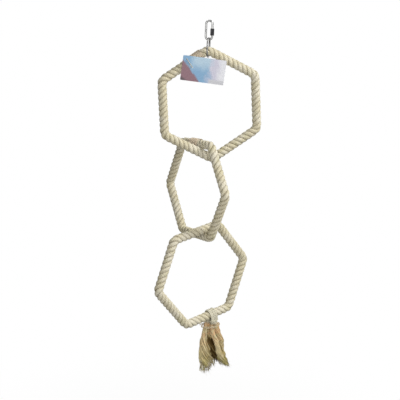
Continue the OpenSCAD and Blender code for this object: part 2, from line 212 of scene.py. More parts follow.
def makeTasselLook(name):
    look, tree = newLook(name)
    place = objectPlace(tree)
    along = attribute(tree, "along")
    tone = attribute(tree, "tone")
    patches = noise(tree, place, tasselLook["patchScale"])
    fibres = noise(tree, place, tasselLook["fibreScale"])
    turnX = attribute(tree, "turnX")
    turnY = attribute(tree, "turnY")
    phase = attribute(tree, "run") * (fullTurn / tasselLook["plyLay"])
    ply = (turnX * turnX - turnY * turnY) * phase.calc("COSINE") + turnX * turnY * 2 * phase.calc("SINE")
    pastFold = along.above(*tasselLook["creamUntil"])
    # tone holds random tone and painted shade: yarns deep in a strand and the inner strand between the legs
    # have low tones, so they turn tan and, below the shade edge, take the painted shade colour
    yarn = mixColour(tree, tone, tasselLook["tan"], tasselLook["straw"])
    rust = (1 - along.above(*tasselLook["rustUntil"])) * patches.above(*tasselLook["rustPatches"])
    yarn = mixColour(tree, rust * tasselLook["rustShare"], yarn, tasselLook["rust"])
    tips = along.above(*tasselLook["oliveFrom"]) * patches.above(*tasselLook["olivePatches"])
    yarn = mixColour(tree, tips * tasselLook["oliveShare"], yarn, tasselLook["olive"])
    yarn = mixColour(tree, pastFold, tasselLook["cream"], yarn)
    greys = along.above(*tasselLook["greyFrom"]) * (1 - patches.above(*tasselLook["greyPatches"]))
    yarn = mixColour(tree, greys * tasselLook["greyShare"], yarn, tasselLook["grey"])
    yarn = mixColour(tree, tone.above(*tasselLook["shadeUntilTone"]), tasselLook["shade"], yarn)
    plyShade = tasselLook["foldPlyShade"] + pastFold * tasselLook["legPlyShade"]
    yarn = mixColour(tree, (1 - ply.above(*tasselLook["plyEdge"])) * plyShade, yarn, tasselLook["shade"])
    yarn = speckle(tree, yarn, fibres, tasselLook["speckShare"], tasselLook["speckDark"])
    relief = ply * tasselLook["plyBump"] + fibres * tasselLook["fibreBump"]
    finishLook(tree, yarn, tasselLook["roughness"], relief, tasselLook["bump"],
               {"Specular IOR Level": tasselLook["shine"]})
    return look


# Camera at the photograph's view, with its slight roll
cameraSet = {
    "azimuth": -10.534, "pitch": 12.474, "roll": 2.369, "distance": 2.2362,
    "aimAcross": -0.00495, "aimHeight": -0.42738, "fieldOfView": 24.601}


def addCamera(values):
    azimuth, pitch, roll = (math.radians(values[key]) for key in ("azimuth", "pitch", "roll"))
    level = Vector((math.cos(azimuth), math.sin(azimuth), 0))
    outward = math.cos(pitch)
    back = Vector((math.sin(azimuth) * outward, -math.cos(azimuth) * outward, math.sin(pitch)))
    rise = back.cross(level)
    right = level * math.cos(roll) + rise * math.sin(roll)
    upward = rise * math.cos(roll) - level * math.sin(roll)
    aim = level * values["aimAcross"] + Vector((0, 0, values["aimHeight"]))
    camera = bpy.data.objects.new("photoCamera", bpy.data.cameras.new("photoCamera"))
    turn = Matrix((right, upward, back)).transposed().to_4x4()
    camera.matrix_world = Matrix.Translation(aim + back * values["distance"]) @ turn
    camera.data.angle = math.radians(values["fieldOfView"])
    scene.collection.objects.link(camera)
    scene.camera = camera


addCamera(cameraSet)

# Hanging pose, as the solids have it: centres in mm, angles in degrees
ringSet = {"side": 130 * mm, "cornerRadius": 16 * mm, "ropeRadius": 11 * mm, "clearance": 0.3 * mm}
ringPlace = {
    "top": {"centre": (9.72003, 0, -194.867), "turn": 0, "roll": 5, "corner": -30},
    "middle": {"centre": (-8.76387, 33.4152, -406.85), "turn": -68, "roll": 4, "corner": 0},
    "bottom": {"centre": (3.07982, -23.5754, -609.92), "turn": 25, "roll": 11.5, "corner": 0}}
hexagonSides = 6
cornerTurn = 360 / hexagonSides
halfCorner = math.radians(cornerTurn / 2)
sideReach = ringSet["side"] * math.cos(halfCorner)


def ringMatrix(name):
    place = ringPlace[name]
    turn = Matrix.Rotation(math.radians(place["turn"]), 4, "Z")
    roll = Matrix.Rotation(math.radians(-place["roll"]), 4, "Y")
    corner = Matrix.Rotation(math.radians(place["corner"]), 4, "Y")
    return Matrix.Translation(Vector(place["centre"]) * mm) @ turn @ roll @ corner


def sideMatrix(name, along, away):  # a place on a side of the ring
    return ringMatrix(name) @ Matrix.Translation((along, 0, away))


# Paths are meshes of edges, which the node trees turn into curves
def addPath(name, runs, closed=False, marks=None):
    points, edges = [], []
    for run in runs:
        start = len(points)
        points += [tuple(point) for point in run]
        edges += [(i, i + 1) for i in range(start, len(points) - 1)]
        if closed:
            edges.append((len(points) - 1, start))
    mesh = bpy.data.meshes.new(name)
    mesh.from_pydata(points, edges, [])
    for mark, values in (marks or {}).items():
        layer = mesh.attributes.new(mark, "FLOAT", "POINT")
        layer.data.foreach_set("value", values)
    path = bpy.data.objects.new(name, mesh)
    scene.collection.objects.link(path)
    return path


def newTree(name, inputs):
    tree = bpy.data.node_groups.new(name, "GeometryNodeTree")
    tree.interface.new_socket("Geometry", in_out="INPUT", socket_type="NodeSocketGeometry")
    for socket, socketType in inputs.items():
        tree.interface.new_socket(socket, in_out="INPUT", socket_type="NodeSocket" + socketType)
    tree.interface.new_socket("Geometry", in_out="OUTPUT", socket_type="NodeSocketGeometry")
    return tree, addNode(tree, "NodeGroupInput")


def endTree(tree, geometry, material):
    smooth = addNode(tree, "GeometryNodeSetShadeSmooth", None, {"Geometry": geometry, "Shade Smooth": True})
    real = addNode(tree, "GeometryNodeRealizeInstances", None, {0: smooth})
    dressed = addNode(tree, "GeometryNodeSetMaterial", None, {"Geometry": real, "Material": material})
    last = tree.nodes.new("NodeGroupOutput")
    tree.links.new(dressed.socket, last.inputs[0])


def pathCurve(tree, given):  # the path as a curve of even steps
    curve = addNode(tree, "GeometryNodeMeshToCurve", None, {0: given.out("Geometry")})
    return addNode(tree, "GeometryNodeResampleCurve", {"mode": "LENGTH"},
                   {"Curve": curve, "Length": given.out("Step")})


def circle(tree, points, radius):
    return addNode(tree, "GeometryNodeCurvePrimitiveCircle", {"mode": "RADIUS"},
                   {"Resolution": points, "Radius": radius})


def keep(tree, geometry, name, value):  # named value on the points
    return addNode(tree, "GeometryNodeStoreNamedAttribute", {"data_type": "FLOAT", "domain": "POINT"},
                   {"Geometry": geometry, "Name": name, "Value": value})


def kept(tree, name):
    return addNode(tree, "GeometryNodeInputNamedAttribute", {"data_type": "FLOAT"}, {"Name": name})


# one hair of length 1, which grows along z and bends over
hairSet = {
    "root": (0, 0, -0.05), "rootPull": (0.05, 0, 0.4), "tipPull": (0.3, 0.15, 0.6), "tip": (0.75, 0.1, 0.72),
    "points": 3, "sides": 3, "radius": 0.03, "taper": 0.7, "lean": 0.7, "shortest": 0.35,
    "spotSeed": 7, "leanSeed": 3, "sizeSeed": 5}


def addFuzz(tree, given, skin):  # loose fibres that stand off the yarns, none where something rubs
    place = addNode(tree, "GeometryNodeInputPosition")
    gap = vectorCalc(tree, "DISTANCE", place, given.out("Bare place"), "Value")
    hairy = gap.calc("GREATER_THAN", given.out("Bare reach"))
    spots = addNode(tree, "GeometryNodeDistributePointsOnFaces", {"distribute_method": "RANDOM"},
                    {"Mesh": skin, "Density": given.out("Fuzz density") * hairy, "Seed": hairSet["spotSeed"]})
    line = addNode(tree, "GeometryNodeCurvePrimitiveBezierSegment", None,
                   {"Resolution": hairSet["points"], "Start": hairSet["root"], "End": hairSet["tip"],
                    "Start Handle": hairSet["rootPull"], "End Handle": hairSet["tipPull"]})
    share = addNode(tree, "GeometryNodeSplineParameter", None, None, "Factor")
    hair = addNode(tree, "GeometryNodeCurveToMesh", None,
                   {"Curve": line, "Profile Curve": circle(tree, hairSet["sides"], hairSet["radius"]),
                    "Scale": 1 - share * hairSet["taper"], "Fill Caps": True})
    lean = hairSet["lean"]
    spin = addNode(tree, "FunctionNodeRandomValue", {"data_type": "FLOAT_VECTOR"},
                   {"Min": (-lean, -lean, 0), "Max": (lean, lean, fullTurn), "Seed": hairSet["leanSeed"]})
    turned = addNode(tree, "FunctionNodeRotateRotation", {"rotation_space": "LOCAL"},
                     {"Rotation": spots.out("Rotation"), "Rotate By": spin})
    size = addNode(tree, "FunctionNodeRandomValue", {"data_type": "FLOAT"},
                   {2: hairSet["shortest"], 3: 1.0, "Seed": hairSet["sizeSeed"]}, 1)
    return addNode(tree, "GeometryNodeInstanceOnPoints", None,
                   {"Points": spots, "Instance": hair, "Rotation": turned,
                    "Scale": size * given.out("Fuzz length")})


pointsPerLobe = 4


def laidCordTree():  # strands wound round the path, each with one lobe for every yarn
    tree, given = newTree("laidCord", {
        "Strands": "Int", "Lay": "Float", "Strand radius": "Float", "Strand reach": "Float",
        "Step": "Float", "Lobes": "Int", "Lobe depth": "Float", "Yarn lay": "Float",
        "Fuzz density": "Float", "Fuzz length": "Float", "Bare place": "Vector", "Bare reach": "Float",
        "Material": "Material"})
    path = pathCurve(tree, given)
    whole = addNode(tree, "GeometryNodeSplineLength")
    share = addNode(tree, "GeometryNodeSplineParameter", None, None, "Factor")
    copies = addNode(tree, "GeometryNodeDuplicateElements", {"domain": "SPLINE"},
                     {"Geometry": path, "Amount": given.out("Strands")})
    number = copies.out("Duplicate Index")
    turns = (whole / given.out("Lay")).calc("ROUND")
    angle = (turns * share + number / given.out("Strands")) * fullTurn
    tangent = addNode(tree, "GeometryNodeInputTangent")
    normal = addNode(tree, "GeometryNodeInputNormal")
    side = vectorCalc(tree, "CROSS_PRODUCT", tangent, normal)
    offset = vectorCalc(tree, "ADD", scaled(tree, normal, angle.calc("COSINE")),
                        scaled(tree, side, angle.calc("SINE")))
    strands = addNode(tree, "GeometryNodeSetPosition", None,
                      {"Geometry": copies, "Offset": scaled(tree, offset, given.out("Strand reach"))})
    twist = (whole / given.out("Yarn lay")).calc("ROUND") * share * -fullTurn
    strands = addNode(tree, "GeometryNodeSetCurveTilt", None, {"Curve": strands, "Tilt": twist})
    section = circle(tree, given.out("Lobes") * pointsPerLobe, given.out("Strand radius"))
    step = addNode(tree, "GeometryNodeInputIndex")
    lobe = (step * (fullTurn / pointsPerLobe)).calc("COSINE")
    place = addNode(tree, "GeometryNodeInputPosition")
    lobed = scaled(tree, place, 1 + lobe * given.out("Lobe depth"))
    section = addNode(tree, "GeometryNodeSetPosition", None, {"Geometry": section, "Position": lobed})
    section = keep(tree, section, "lobe", lobe)
    skin = addNode(tree, "GeometryNodeCurveToMesh", None,
                   {"Curve": strands, "Profile Curve": section, "Fill Caps": True})
    spine = addNode(tree, "GeometryNodeCurveToMesh", None, {"Curve": path})
    depth = addNode(tree, "GeometryNodeProximity", {"target_element": "EDGES"}, {0: spine}, "Distance")
    skin = keep(tree, skin, "depth", depth)
    joined = addNode(tree, "GeometryNodeJoinGeometry", None, {0: addFuzz(tree, given, skin)})
    tree.links.new(skin.socket, joined.node.inputs[0])
    endTree(tree, joined, given.out("Material"))
    return tree


wanderFrom = (0.02, 0.5)


def yarnTree():  # loose yarns that wander more the further they are from the fold
    tree, given = newTree("looseYarn", {
        "Step": "Float", "Sides": "Int", "Wander": "Float", "Wander scale": "Float", "Material": "Material"})
    path = pathCurve(tree, given)
    path = keep(tree, path, "run", addNode(tree, "GeometryNodeSplineParameter", None, None, "Length"))
    place = addNode(tree, "GeometryNodeInputPosition")
    drift = addNode(tree, "ShaderNodeTexNoise", {"noise_dimensions": "3D"},
                    {"Vector": place, "Scale": given.out("Wander scale"), "Detail": 1.0}, "Color")
    centred = vectorCalc(tree, "SUBTRACT", drift, (0.5, 0.5, 0.5))
    amount = given.out("Wander") * kept(tree, "along").above(*wanderFrom)
    path = addNode(tree, "GeometryNodeSetPosition", None,
                   {"Geometry": path, "Offset": scaled(tree, centred, amount)})
    section = circle(tree, given.out("Sides"), 1.0)
    rim = addNode(tree, "ShaderNodeSeparateXYZ", None, {0: place})
    section = keep(tree, section, "turnX", rim)
    section = keep(tree, section, "turnY", rim.out("Y"))
    skin = addNode(tree, "GeometryNodeCurveToMesh", None,
                   {"Curve": path, "Profile Curve": section, "Scale": kept(tree, "thick"), "Fill Caps": True})
    endTree(tree, skin, given.out("Material"))
    return tree


def grow(name, path, tree, values, place):  # runs a tree on a path and keeps the plain mesh
    modifier = path.modifiers.new(tree.name, "NODES")
    modifier.node_group = tree
    for socket in tree.interface.items_tree:
        if socket.in_out == "INPUT" and socket.name in values:
            modifier[socket.identifier] = values[socket.name]
    ready = path.evaluated_get(bpy.context.evaluated_depsgraph_get())
    mesh = bpy.data.meshes.new_from_object(ready)
    mesh.name = name
    mesh.transform(place)
    piece = bpy.data.objects.new(name, mesh)
    scene.collection.objects.link(piece)
    bpy.data.objects.remove(path)
    print(name, len(mesh.polygons), "faces")
    return piece


def install(piece, body, node):
    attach(piece, body)
    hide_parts(node)


laidCord = laidCordTree()
looseYarn = yarnTree()

# Rings of three-strand rope over their wire
ropeSet = {
    "Strands": 3, "Lay": 38.5 * mm, "Strand radius": 6.1 * mm, "Strand reach": 4.85 * mm,
    "Step": 1.6 * mm, "Lobes": 9, "Lobe depth": 0.03, "Yarn lay": 52 * mm,
    "Fuzz density": 22000.0, "Fuzz length": 2.2 * mm}
cornerSteps = 10
hangerSet = {"wire": 4 * mm, "rubbed": 17 * mm}


def hexagonPath(name):
    radius = ringSet["cornerRadius"]
    reach = ringSet["side"] - radius / math.cos(halfCorner)
    points = []
    for corner in range(hexagonSides):
        middle = math.radians(cornerTurn * corner)
        for i in range(cornerSteps + 1):
            angle = middle + halfCorner * (2 * i / cornerSteps - 1)
            points.append((reach * math.cos(middle) + radius * math.cos(angle), 0,
                           reach * math.sin(middle) + radius * math.sin(angle)))
    return addPath(name, [points], closed=True)


def hangerSpot():  # middle of the rope inside the hanger
    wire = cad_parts["hanger_ring"].data.vertices
    lowest = min((point.co for point in wire), key=lambda place: place.z)
    return lowest + Vector((0, 0, hangerSet["wire"] + ringSet["clearance"] + ringSet["ropeRadius"]))


for ring in ringPlace:
    values = {**ropeSet, "Material": makeRopeLook(ring + "RopeLook")}
    if ring == "top":
        values["Bare place"] = tuple(ringMatrix(ring).inverted() @ hangerSpot())
        values["Bare reach"] = hangerSet["rubbed"]
    rope = grow(ring + "RingRope", hexagonPath(ring + "RopePath"), laidCord, values, ringMatrix(ring))
    install(rope, ring + "_ring", ring + "_ring_rope")

# Whippings over the rope joints, each end of the twine tucked in
whippingSet = {
    "Strands": 2, "Lay": 5.2 * mm, "Strand radius": 0.52 * mm, "Strand reach": 0.44 * mm,
    "Step": 1.1 * mm, "Lobes": 2, "Lobe depth": 0.0, "Yarn lay": 30 * mm,
    "Fuzz density": 12000.0, "Fuzz length": 1.6 * mm}
twineRadius = 0.95 * mm
windingSet = {
    "radius": ringSet["ropeRadius"] + ringSet["clearance"] + twineRadius, "pitch": 2.4 * mm,
    "tuckTurns": 0.12, "tuckDepth": 0.2, "pointsPerTurn": 40}
# the groove colour of a twine is painted shade for its grooves
whippingTint = {
    "body": (0.60, 0.50, 0.37), "pale": (0.67, 0.58, 0.45), "grooveShade": (0.34, 0.26, 0.17),
    "grooveDepth": 0.1 * mm, "crownDepth": 0.75 * mm}
whippingPlace = {
    "top": {"at": ringSet["side"] / 2 - 31 * mm, "turns": 12},
    "middle": {"at": -1 * mm, "turns": 16}}


def windingPath(name, turns):
    tuckTurns = windingSet["tuckTurns"]
    points = []
    for i in range(int((turns + 2 * tuckTurns) * windingSet["pointsPerTurn"]) + 1):
        turn = -tuckTurns + i / windingSet["pointsPerTurn"]
        tucked = max(0, -turn, turn - turns) / tuckTurns
        radius = windingSet["radius"] * (1 - windingSet["tuckDepth"] * tucked)
        angle = fullTurn * turn
        points.append((windingSet["pitch"] * (turn - turns / 2), radius * math.cos(angle),
                       radius * math.sin(angle)))
    return addPath(name, [points])


whippingLook = makeTwineLook("whippingTwineLook", whippingTint)
for ring, spot in whippingPlace.items():
    path = windingPath(ring + "WhippingPath", spot["turns"])
    onSide = sideMatrix(ring, spot["at"], sideReach)
    whipping = grow(ring + "RingWhipping", path, laidCord, {**whippingSet, "Material": whippingLook}, onSide)
    install(whipping, ring + "_ring", ring + "_ring_whipping")

# Tassel: rope folded over the lowest ring, its two ends unlaid and frayed
tasselSet = {
    "at": 11 * mm, "foldWidth": 20 * mm, "foldThickness": 5 * mm, "foldDrop": 13 * mm, "clearance": 0.3 * mm,
    "yarnsPerStrand": 36, "yarnSpiral": 2.4, "yarnRadius": 1.25 * mm, "yarnSides": 6, "seed": 21}
foldMiddle = ringSet["ropeRadius"] + tasselSet["clearance"] + tasselSet["foldThickness"] / 2
foldMatrix = sideMatrix("bottom", tasselSet["at"], -sideReach)
tasselTurn = Matrix.Rotation(math.radians(ringPlace["bottom"]["turn"]), 4, "Z")
tasselMatrix = Matrix.Translation(foldMatrix.translation) @ tasselTurn
foldSlope = math.sin(math.radians(ringPlace["bottom"]["roll"]))
legTop = tasselSet["foldDrop"] + tasselSet["clearance"] + tasselSet["foldWidth"] / 2 * foldSlope
# share of the leg, place across, place in depth, half width, half depth (mm)
frontStations = [
    (0, 0, -foldMiddle / mm, 10, 2.5), (0.09, 9, -7.4, 13.5, 6.2), (0.24, 13, -7, 16.5, 7),
    (0.44, 21.5, -7, 14, 8.5), (0.61, 25.5, -6.5, 12, 8), (0.77, 33, -6, 11.5, 7.5),
    (0.885, 42.5, -5, 12, 7), (1, 52, -4, 12, 6.5)]
backStations = [
    (0, 0, foldMiddle / mm, 10, 2.5), (0.08, -0.5, 7.4, 14, 6.2), (0.22, -4.8, 7, 14.5, 7.5),
    (0.4, -8, 8, 16, 9), (0.55, -6.5, 8, 19, 10.5), (0.7, -3.6, 8, 23, 11), (0.8, 1, 8, 24.5, 11),
    (0.9, 2, 7, 27, 10), (1, 0, 6, 24, 8)]
# inner strand of the back leg: yarns in the gap between the legs, their dark tone a painted shade of that gap
innerStations = [
    (0, 0, 0, 26, 12), (0.08, 1, 4, 18, 8), (0.22, 1, 4, 16, 7), (0.4, 3, 3, 19, 7),
    (0.55, 10, 3, 19, 7), (0.7, 18, 3, 17, 7), (0.8, 25.5, 3, 14, 6), (1, 36, 3, 9, 5)]
# strands wind round the leg, apart from those with stations of their own
legSet = {
    "Front": {
        "stations": frontStations, "length": 131 * mm, "firstTurn": 20, "turns": 0.4, "reach": 0.58,
        "loose": 1.0,
        "strands": [{"end": 0.97, "tone": 0.2}, {"end": 1.0, "tone": 0.45}, {"end": 1.0, "tone": 0.1}]},
    "Back": {
        "stations": backStations, "length": 138 * mm, "firstTurn": -10, "turns": 0.15, "reach": 0.47,
        "loose": 1.15,
        "strands": [{"end": 0.95, "tone": 0.2}, {"end": 1.0, "tone": 0.45},
                    {"end": 0.85, "tone": -0.9, "stations": innerStations, "unshadedUntil": 0.26}]}}
# yarns of a leg: where they end and flare, how they thin out and change tone, in shares; the tone falls
# towards a strand's middle as painted shade, around a random part
legYarnSet = {
    "steps": 26, "root": 0.02, "turns": 1.2, "tight": 0.5, "loosen": 0.14, "flare": 0.25, "flareFrom": 0.5,
    "shortfall": 0.1, "shortfallPower": 1.5, "strayShare": 0.15, "strayEnd": (0.66, 0.85), "strayFlare": 0.75,
    "toneChance": 0.55, "toneRim": 0.45, "toneDrop": 0.3, "neckFade": 10, "taperFrom": 0.75, "taper": 0.55,
    "uneven": (0.9, 1.1)}
legInputs = {"Step": 2.6 * mm, "Wander": 4 * mm, "Wander scale": 40.0}
# fibres past a yarn's end, lengths in mm
fibreSet = {
    "perYarn": 6, "fromLast": (1, 7), "headingSteps": 3, "spread": 0.5, "lift": 0.3, "length": (5, 15),
    "pastEnd": 0.05, "parts": (0, 0.25, 0.5, 0.75, 1),
    "thick": (0.2 * mm, 0.19 * mm, 0.17 * mm, 0.14 * mm, 0.08 * mm)}
# strands lie side by side in the flat fold: places and reach are shares of its half width and its spread
foldSet = {
    "strands": [(-0.63, 0.1), (0.0, -0.12), (0.63, 0.1)], "reachAcross": 0.31, "reachDeep": 0.85,
    "twist": 0.3, "steps": 16, "sink": 0.8 * mm, "spread": 1.3 * mm, "drops": (0.25, 0.5, 0.75, 1.0, 1.15),
    "thick": 0.75}
foldInputs = {"Step": 2.0 * mm, "Wander": 0.0, "Wander scale": 60.0}


def stationAt(stations, share):
    for low, high in zip(stations, stations[1:]):
        if share <= high[0]:
            part = (share - low[0]) / (high[0] - low[0])
            part = part * part * (3 - 2 * part)
            return [first + (last - first) * part for first, last in zip(low[1:], high[1:])]
    return list(stations[-1][1:])


def bundleYarns(dice):  # strand, reach from the strand's middle and angle of each yarn
    yarns = []
    for strand in range(len(foldSet["strands"])):
        for i in range(tasselSet["yarnsPerStrand"]):
            reach = math.sqrt((i + 0.5) / tasselSet["yarnsPerStrand"])
            yarns.append((strand, reach, i * tasselSet["yarnSpiral"] + dice.random()))
    return yarns


def newBundle():
    return {"runs": [], "marks": {"along": [], "thick": [], "tone": []}}


def addRun(bundle, points, **marks):
    bundle["runs"].append(points)
    for name, values in marks.items():
        bundle["marks"][name] += values


def growBundle(name, bundle, inputs, place):
    path = addPath(name + "Path", bundle["runs"], marks=bundle["marks"])
    values = {**inputs, "Sides": tasselSet["yarnSides"], "Material": tasselYarn}
    return grow(name, path, looseYarn, values, place)


def legPlace(leg, strand, reach, angle, share):  # middle of the leg, and a yarn's offset from it, in mm
    own = leg["strands"][strand]
    middleX, middleY, wide, deep = stationAt(own.get("stations", leg["stations"]), share)
    angle += fullTurn * legYarnSet["turns"] * share
    loose = leg["loose"] * reach * (legYarnSet["tight"] + legYarnSet["loosen"] * share)
    offsetX = loose * (wide + deep) / 2 * math.cos(angle)
    offsetY = loose * (wide + 3 * deep) / 4 * math.sin(angle)
    if "stations" not in own:
        winding = sum("stations" not in other for other in leg["strands"])
        around = math.radians(leg["firstTurn"]) + fullTurn * (strand / winding + leg["turns"] * share)
        offsetX += leg["reach"] * wide * math.cos(around)
        offsetY += leg["reach"] * deep * math.sin(around)
    return middleX, middleY, offsetX, offsetY


def addFibres(bundle, points, share, dice):  # loose ends past a yarn's own
    heading = (Vector(points[-1]) - Vector(points[-1 - fibreSet["headingSteps"]])).normalized()
    lift = fibreSet["lift"]
    for _ in range(fibreSet["perYarn"]):
        start = Vector(points[-1 - dice.randrange(*fibreSet["fromLast"])])
        away = Vector((dice.uniform(-1, 1), dice.uniform(-1, 1), dice.uniform(-lift, lift)))
        away *= fibreSet["spread"]
        size = dice.uniform(*fibreSet["length"]) * mm
        fibre = [start + heading * size * part + away * size * part * part for part in fibreSet["parts"]]
        addRun(bundle, fibre, along=[min(1, share + fibreSet["pastEnd"])] * len(fibre),
               thick=fibreSet["thick"], tone=[dice.random()] * len(fibre))


def growLeg(name, leg, seed):
    dice = random.Random(seed)
    bundle = newBundle()
    root = legYarnSet["root"]
    for strand, reach, angle in bundleYarns(dice):
        own = leg["strands"][strand]
        end = own["end"] * (1 - legYarnSet["shortfall"] * dice.random() ** legYarnSet["shortfallPower"])
        # inner yarns, of small reach, get lower tones, painted shade inside the strand; the dice adds random
        # tone
        rim = legYarnSet["toneChance"] * dice.random() + legYarnSet["toneRim"]
        tone = own["tone"] + reach * rim - legYarnSet["toneDrop"]
        flare = legYarnSet["flare"] * dice.random() * reach
        if dice.random() < legYarnSet["strayShare"]:
            end *= dice.uniform(*legYarnSet["strayEnd"])
            flare += legYarnSet["strayFlare"]
        points, shares, thicks = [], [], []
        for i in range(legYarnSet["steps"] + 1):
            share = (end + root) * i / legYarnSet["steps"] - root
            middleX, middleY, offsetX, offsetY = legPlace(leg, strand, reach, angle, max(0, share))
            spread = 1 + flare * max(0, share - legYarnSet["flareFrom"]) / (1 - legYarnSet["flareFrom"])
            points.append(((middleX + offsetX * spread) * mm, (middleY + offsetY * spread) * mm,
                           -legTop - share * leg["length"]))
            shares.append(max(0, share))
            ending = max(0, share / end - legYarnSet["taperFrom"]) / (1 - legYarnSet["taperFrom"])
            taper = 1 - legYarnSet["taper"] * ending
            thicks.append(tasselSet["yarnRadius"] * taper * dice.uniform(*legYarnSet["uneven"]))
        neckTone = dice.random()
        tones = [tone] * len(shares)
        # the inner strand keeps a random tone near the neck, then fades into the painted shade of the gap
        # between the legs
        if "unshadedUntil" in own:
            fades = [legYarnSet["neckFade"] * max(0, share - own["unshadedUntil"]) for share in shares]
            tones = [max(tone, neckTone - fade) for fade in fades]
        addRun(bundle, points, along=shares, thick=thicks, tone=tones)
        addFibres(bundle, points, shares[-1], dice)
    return growBundle(name, bundle, legInputs, tasselMatrix)


def growFold(name, seed):
    dice = random.Random(seed)
    bundle = newBundle()
    thickness = foldSet["thick"] * tasselSet["yarnRadius"]
    for strand, reach, angle in bundleYarns(dice):
        tone = dice.random()
        middleX, middleY = foldSet["strands"][strand]
        points = []
        for i in range(foldSet["steps"] + 1):
            part = i / foldSet["steps"]
            turned = angle + fullTurn * foldSet["twist"] * part
            across = middleX + reach * foldSet["reachAcross"] * math.cos(turned)
            out = middleY + reach * foldSet["reachDeep"] * math.sin(turned)
            radius = foldMiddle - foldSet["sink"] + out * foldSet["spread"]
            points.append((across * tasselSet["foldWidth"] / 2, -radius * math.cos(math.pi * part),
                           radius * math.sin(math.pi * part)))
        drops = [-drop * tasselSet["foldDrop"] for drop in foldSet["drops"]]
        front = [(*points[0][:2], drop) for drop in reversed(drops)]
        back = [(*points[-1][:2], drop) for drop in drops]
        run = front + points + back
        count = len(run)
        addRun(bundle, run, along=[0.0] * count, thick=[thickness] * count, tone=[tone] * count)
    return growBundle(name, bundle, foldInputs, foldMatrix)


tasselYarn = makeTasselLook("tasselYarnLook")
fold = growFold("tasselFold", tasselSet["seed"])
install(fold, "tassel", "tassel_fold")
for order, (side, leg) in enumerate(legSet.items()):
    piece = growLeg("tassel" + side + "Leg", leg, tasselSet["seed"] + 1 + order)
    install(piece, "tassel", "tassel_" + side.lower() + "_leg")

# Twine round the tassel's neck, with one end left long
tieSet = {
    "drop": 13 * mm, "wide": 25.6 * mm, "deep": 16 * mm, "turns": 2, "pitch": 2.5 * mm, "pointsPerTurn": 48,
    "tail": 22 * mm, "tailDrop": 4 * mm, "tailParts": (1, 0.75, 0.5, 0.25)}
tieCord = {**whippingSet, "Strand radius": 0.56 * mm, "Strand reach": 0.46 * mm, "Lay": 6 * mm}
# the groove colour of a twine is painted shade for its grooves
tieTint = {
    "body": (0.50, 0.42, 0.28), "pale": (0.58, 0.50, 0.36), "grooveShade": (0.24, 0.18, 0.10),
    "grooveDepth": 0.1 * mm, "crownDepth": 0.85 * mm}
tieTwine = makeTwineLook("tieTwineLook", tieTint)


def tiePath(name):
    points = []
    for i in range(tieSet["turns"] * tieSet["pointsPerTurn"] + 1):
        turn = i / tieSet["pointsPerTurn"]
        angle = fullTurn * turn
        points.append(Vector((tieSet["wide"] * math.sin(angle), tieSet["deep"] * math.cos(angle),
                              -tieSet["pitch"] * (turn - tieSet["turns"] / 2))))
    tail = []
    for part in tieSet["tailParts"]:
        tail.append(points[0] - Vector((tieSet["tail"] * part, 0, tieSet["tailDrop"] * part * part)))
    return addPath(name, [tail + points])


tie = grow("tasselTie", tiePath("tasselTiePath"), laidCord, {**tieCord, "Material": tieTwine},
           tasselMatrix @ Matrix.Translation((0, 0, -legTop - tieSet["drop"])))
install(tie, "tassel", "tassel_tie")

# Loop that holds the card on the rope
tagTwine = 1.8 * mm
tagSet = {
    "width": 104 * mm, "height": 58 * mm, "tilt": 11, "fromLeft": 17 * mm, "fromTop": 17 * mm,
    "standOff": windingSet["radius"] + twineRadius + ringSet["clearance"], "thickness": 0.8 * mm}
tagTieSet = {
    "at": ringSet["side"] / 2 - 54 * mm, "leg": ringSet["ropeRadius"] + ringSet["clearance"] + tagTwine / 2,
    "front": tagSet["standOff"] + tagSet["thickness"] + ringSet["clearance"] + tagTwine / 2,
    "bend": tagTwine, "backSteps": 24, "bendSteps": 8}
tagCord = {
    **whippingSet, "Strand radius": 0.48 * mm, "Strand reach": 0.4 * mm, "Lay": 4.6 * mm,
    "Fuzz density": 6000.0}
tagTieMatrix = sideMatrix("top", tagTieSet["at"], sideReach)


def arc(centreY, centreZ, radius, first, last, steps):  # angles in degrees from straight up, backwards
    points = []
    for i in range(steps + 1):
        angle = math.radians(first + (last - first) * i / steps)
        points.append((0, centreY + radius * math.sin(angle), centreZ + radius * math.cos(angle)))
    return points


def tagLoopPath(name):  # round the back of the rope, then round two bends in front of the card
    leg, bend = tagTieSet["leg"], tagTieSet["bend"]
    bendY = bend - tagTieSet["front"]
    points = arc(0, 0, leg, 0, 180, tagTieSet["backSteps"])
    points += arc(bendY, bend - leg, bend, 180, 270, tagTieSet["bendSteps"])
    points += arc(bendY, leg - bend, bend, 270, 360, tagTieSet["bendSteps"])
    return addPath(name, [points], closed=True)


tagLoop = grow("tagTie", tagLoopPath("tagTiePath"), laidCord, {**tagCord, "Material": tieTwine}, tagTieMatrix)
install(tagLoop, "tag", "tag_tie")


# Metal pieces and the card keep their solids
def dress(node, look):
    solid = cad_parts[node]
    solid.data.materials.clear()
    solid.data.materials.append(look)


steelSet = {
    "drawn": (1, 1, 8), "cloudScale": 140.0, "dullPatches": (0.4, 0.7), "dull": 0.5, "scratchRoughness": 0.18,
    "bump": 0.04 * mm}
metalSet = {
    "zincLinkSteel": {
        "nodes": ["quick_link"], "colour": (0.30, 0.30, 0.295), "roughness": 0.22, "scratchScale": 900.0},
    "dullHangerSteel": {
        "nodes": ["hanger_ring"], "colour": (0.22, 0.22, 0.215), "roughness": 0.26, "scratchScale": 900.0},
    "darkNutSteel": {
        "nodes": ["quick_link_nut"], "colour": (0.03, 0.03, 0.032), "roughness": 0.28,
        "scratchScale": 1100.0},
    "coreWire": {
        "nodes": [ring + "_ring_core" for ring in ringPlace], "colour": (0.45, 0.45, 0.46), "roughness": 0.35,
        "scratchScale": 900.0},
    "crimpedSleeve": {
        "nodes": [ring + "_ring_ferrule" for ring in ringPlace], "colour": (0.70, 0.70, 0.72),
        "roughness": 0.40, "scratchScale": 700.0}}


